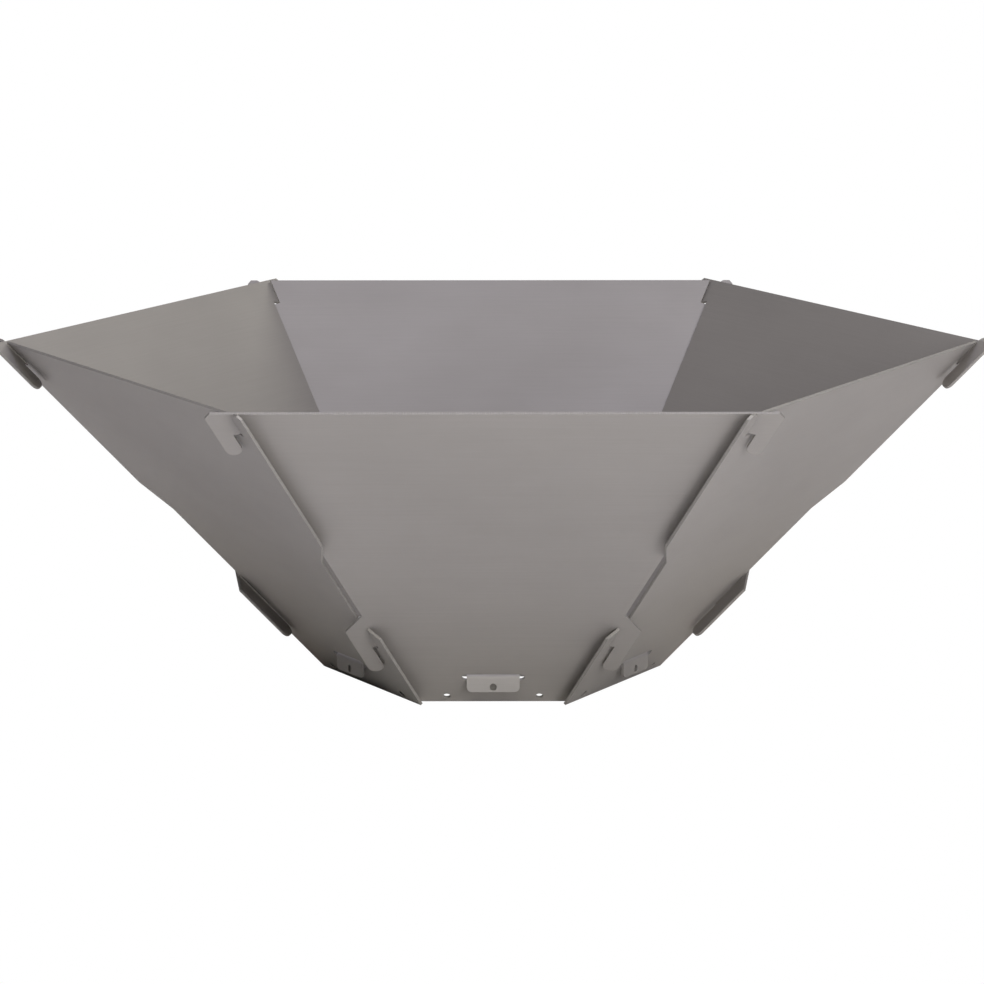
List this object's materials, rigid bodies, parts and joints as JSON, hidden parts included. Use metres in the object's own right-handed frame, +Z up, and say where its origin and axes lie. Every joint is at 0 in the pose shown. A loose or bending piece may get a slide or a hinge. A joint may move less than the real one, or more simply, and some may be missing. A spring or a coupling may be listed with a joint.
{
  "type": "fire basket",
  "caption": "Open hexagonal fire basket of flat steel panels that hook into each other round a base plate with bent tabs; holds a wood or charcoal fire outdoors.",
  "frame": {"origin": "centre of the foot hexagon, on the surface that the basket stands on", "axes": "+Z up, -Y through the middle of the front panel, +X to the right seen from the front, through two rim corners"},
  "size_m": [0.7122, 0.6292, 0.2425],
  "materials": {
    "panel_steel": "bare matte mill-finish steel sheet with brighter cut edges",
    "base_steel": "bare matte mill-finish steel sheet, bent tabs"
  },
  "bodies": {
    "root": {"front_panel": "panel_steel", "right_front_panel": "panel_steel", "right_back_panel": "panel_steel", "back_panel": "panel_steel", "left_back_panel": "panel_steel", "left_front_panel": "panel_steel", "base_plate": "base_steel"}
  },
  "joints": []
}
